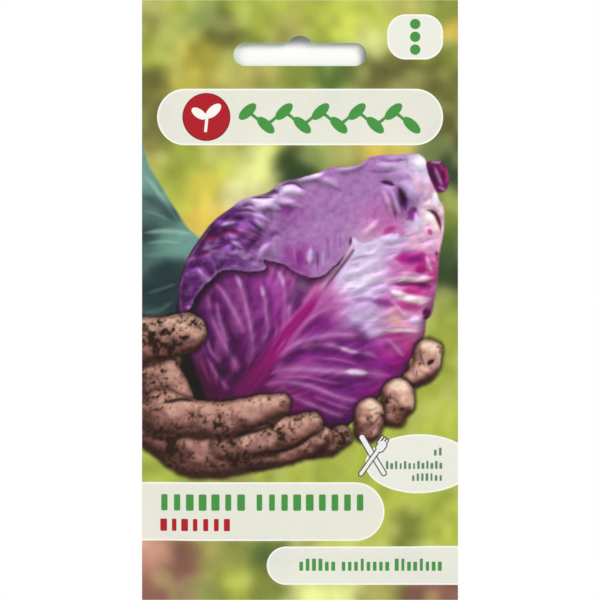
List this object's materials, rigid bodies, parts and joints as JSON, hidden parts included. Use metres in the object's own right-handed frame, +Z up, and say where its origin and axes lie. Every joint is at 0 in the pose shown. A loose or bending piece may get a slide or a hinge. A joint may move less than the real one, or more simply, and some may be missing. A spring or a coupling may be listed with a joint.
{
  "type": "seed packet",
  "caption": "Flat printed seed packet of sealed laminated paper, with a humped hang slot through its header and loose round seeds at the bottom of its pocket.",
  "frame": {"origin": "top of the hump in the hang slot's upper edge, where a hook bears, midway between the two panels", "axes": "+Z up as the packet hangs, -Y out of the printed front, +X to the right of the front as it is read"},
  "size_m": [0.079, 0.0028, 0.15],
  "materials": {
    "front_print": "gloss laminate over a full-colour print",
    "back_print": "satin laminate over a pale print",
    "seed_coat": "matt, finely pitted seed coat"
  },
  "bodies": {
    "root": {"front_panel": "front_print", "back_panel": "back_print", "seed_01": "seed_coat", "seed_02": "seed_coat", "seed_03": "seed_coat", "seed_04": "seed_coat", "seed_05": "seed_coat", "seed_06": "seed_coat", "seed_07": "seed_coat", "seed_08": "seed_coat", "seed_09": "seed_coat", "seed_10": "seed_coat", "seed_11": "seed_coat", "seed_12": "seed_coat", "seed_13": "seed_coat", "seed_14": "seed_coat", "seed_15": "seed_coat", "seed_16": "seed_coat", "seed_17": "seed_coat", "seed_18": "seed_coat", "seed_19": "seed_coat", "seed_20": "seed_coat", "seed_21": "seed_coat", "seed_22": "seed_coat", "seed_23": "seed_coat", "seed_24": "seed_coat", "seed_25": "seed_coat", "seed_26": "seed_coat", "seed_27": "seed_coat", "seed_28": "seed_coat", "seed_29": "seed_coat", "seed_30": "seed_coat", "seed_31": "seed_coat", "seed_32": "seed_coat", "seed_33": "seed_coat", "seed_34": "seed_coat", "seed_35": "seed_coat", "seed_36": "seed_coat", "seed_37": "seed_coat", "seed_38": "seed_coat", "seed_39": "seed_coat", "seed_40": "seed_coat", "seed_41": "seed_coat", "seed_42": "seed_coat", "seed_43": "seed_coat", "seed_44": "seed_coat", "seed_45": "seed_coat", "seed_46": "seed_coat", "seed_47": "seed_coat", "seed_48": "seed_coat", "seed_49": "seed_coat", "seed_50": "seed_coat", "seed_51": "seed_coat", "seed_52": "seed_coat", "seed_53": "seed_coat", "seed_54": "seed_coat", "seed_55": "seed_coat", "seed_56": "seed_coat"}
  },
  "joints": []
}
